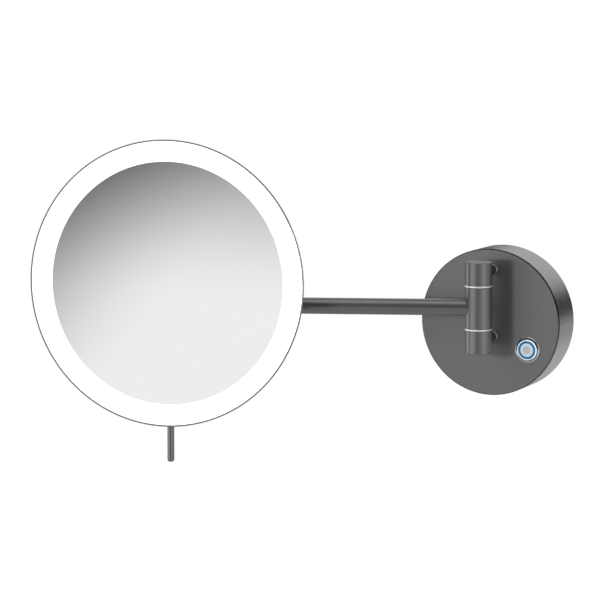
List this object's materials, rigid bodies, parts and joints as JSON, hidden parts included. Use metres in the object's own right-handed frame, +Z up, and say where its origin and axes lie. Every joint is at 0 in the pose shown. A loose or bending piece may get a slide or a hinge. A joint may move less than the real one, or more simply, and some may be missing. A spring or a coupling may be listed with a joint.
{
  "type": "wall shaving mirror",
  "caption": "Wall-mounted lit shaving mirror: round concave mirror in a frosted lit ring on a hinged swing arm, with a drum wall rose and push button.",
  "frame": {"origin": "centre of the wall rose's back face, on the wall", "axes": "+X to the right along the wall, +Y into the wall, +Z up; the mirror is towards -Y"},
  "size_m": [0.3437, 0.1751, 0.2277],
  "materials": {
    "graphite": "satin graphite coating, finely brushed",
    "polished": "polished",
    "steel": "plain steel",
    "brass": "plain brass",
    "nylon": "natural nylon",
    "black_plastic": "black moulding",
    "white_plastic": "white moulding",
    "board": "white solder mask",
    "led": "pale yellow lens",
    "lit": "frosted, lit from behind",
    "mirror": "silvered glass",
    "blue_light": "clear blue lens, lit",
    "cap_grey": "pale grey cap",
    "rubber": "black rubber",
    "foam": "soft foam",
    "cable": "black sheath"
  },
  "bodies": {
    "wall_rose": {"wall_plate": "steel", "rose_drum": "graphite", "rose_face": "graphite", "cover_set_screw": "steel", "mains_grommet": "rubber", "hinge_backing_plate": "steel", "upper_hinge_knuckle": "graphite", "lower_hinge_knuckle": "graphite", "upper_hinge_post": "graphite", "lower_hinge_post": "graphite", "hinge_post_nuts": "steel", "hinge_pin": "graphite", "hinge_ring_nut": "steel", "hinge_disc_spring": "steel", "hinge_rings": "polished", "button_bezel": "polished", "button_nut": "steel", "switch_body": "black_plastic", "switch_tabs": "brass", "led_driver": "white_plastic", "driver_screws": "steel", "terminal_block": "white_plastic", "driver_input_wires": "cable", "switch_wires": "cable", "rose_lead": "cable"},
    "push_button": {"button_cap_rim": "polished", "button_light_ring": "blue_light", "button_cap_centre": "cap_grey", "button_plunger": "white_plastic", "button_spring": "steel"},
    "arm": {"arm_knuckle": "graphite", "arm_hinge_bushes": "nylon", "arm_tube": "graphite", "arm_end_sleeve": "graphite", "arm_end_bushes": "nylon", "arm_lead": "cable"},
    "swivel": {"swivel_stem": "steel", "swivel_ring": "polished", "swivel_disc_spring": "steel", "swivel_nut": "steel", "tilt_knuckle": "graphite", "tilt_bushes": "nylon", "swivel_lead": "cable"},
    "mirror_head": {"back_shell": "graphite", "lit_ring": "lit", "mirror_glass": "mirror", "mirror_carrier": "white_plastic", "mirror_gasket": "foam", "led_board": "board", "led_chips": "led", "shell_screws": "steel", "tilt_yoke": "graphite", "tilt_screws": "graphite", "yoke_screws": "steel", "yoke_backing_plate": "steel", "pull_pin": "graphite", "pull_pin_socket": "graphite", "head_lead": "cable"}
  },
  "joints": [
    {"name": "arm_swing", "type": "hinge", "parent": "wall_rose", "child": "arm", "pos_m": [0.002, -0.0552, 0.0138], "axis": [0, 0, 1], "range_deg": [-17.5, 162]},
    {"name": "head_swivel", "type": "hinge", "parent": "arm", "child": "swivel", "pos_m": [-0.19919, -0.11929, 0.0138], "axis": [0, 0, 1], "range_deg": [-165, 12]},
    {"name": "head_tilt", "type": "hinge", "parent": "swivel", "child": "mirror_head", "pos_m": [-0.19919, -0.11929, 0.0315], "axis": [0.9836, 0.1805, 0], "range_deg": [-22, 22]},
    {"name": "button_press", "type": "slide", "parent": "wall_rose", "child": "push_button", "axis": [0, 1, 0], "range_m": [0, 0.0012], "stiffness_N_per_m": 800, "springref_m": -0.0012}
  ]
}
